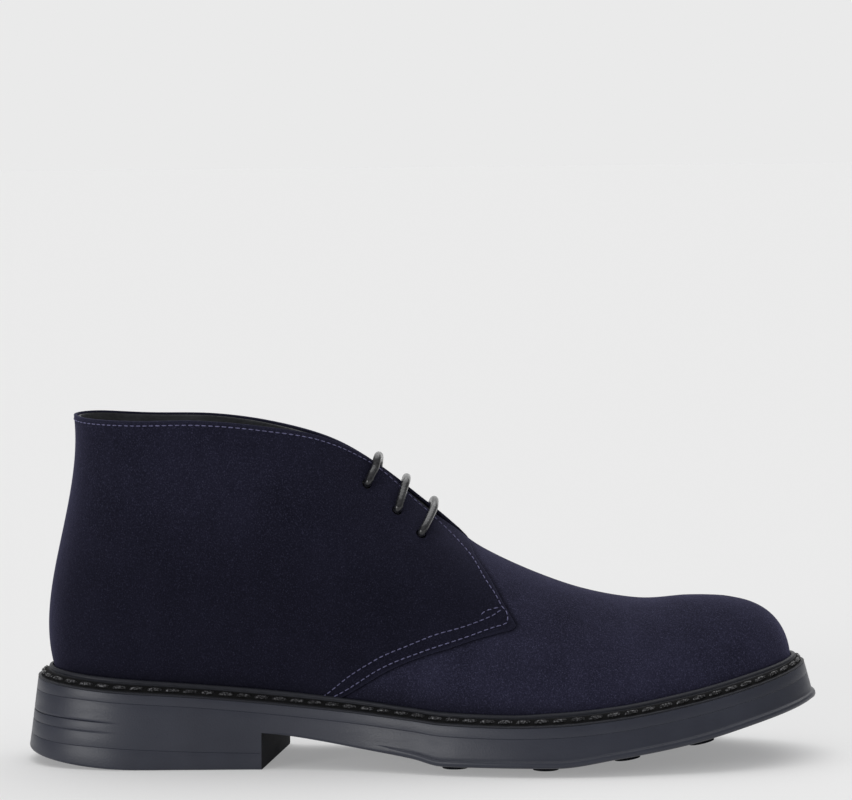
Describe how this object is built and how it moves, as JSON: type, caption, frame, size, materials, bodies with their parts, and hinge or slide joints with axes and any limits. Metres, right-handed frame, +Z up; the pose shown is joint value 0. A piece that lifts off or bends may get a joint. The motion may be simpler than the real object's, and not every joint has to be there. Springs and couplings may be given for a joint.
{
  "type": "chukka boot",
  "caption": "Right ankle boot of dark suede with a lace throat, a storm welt all round and a studded rubber sole with a stacked heel.",
  "frame": {"origin": "on the floor, under the middle of the boot's box", "axes": "+X from heel to toe, +Y to the inner (medial) side, +Z up"},
  "size_m": [0.3088, 0.1104, 0.1359],
  "materials": {
    "sole_rubber": "satin dark blue-grey rubber",
    "sole_edge": "burnished dark blue-grey edge with moulded lines",
    "welt_leather": "waxed black storm welt with thick stitches",
    "insole_leather": "plain dark leather",
    "suede": "matt midnight navy suede",
    "lining_leather": "smooth dark lining leather",
    "lace_cord": "waxed round braided cord"
  },
  "bodies": {
    "root": {"outsole": "sole_rubber", "heel": "sole_edge", "top_piece": "sole_rubber", "midsole": "sole_edge", "welt": "welt_leather", "insole": "insole_leather", "upper": "suede", "tongue": "lining_leather", "lace": "lace_cord"}
  },
  "joints": []
}
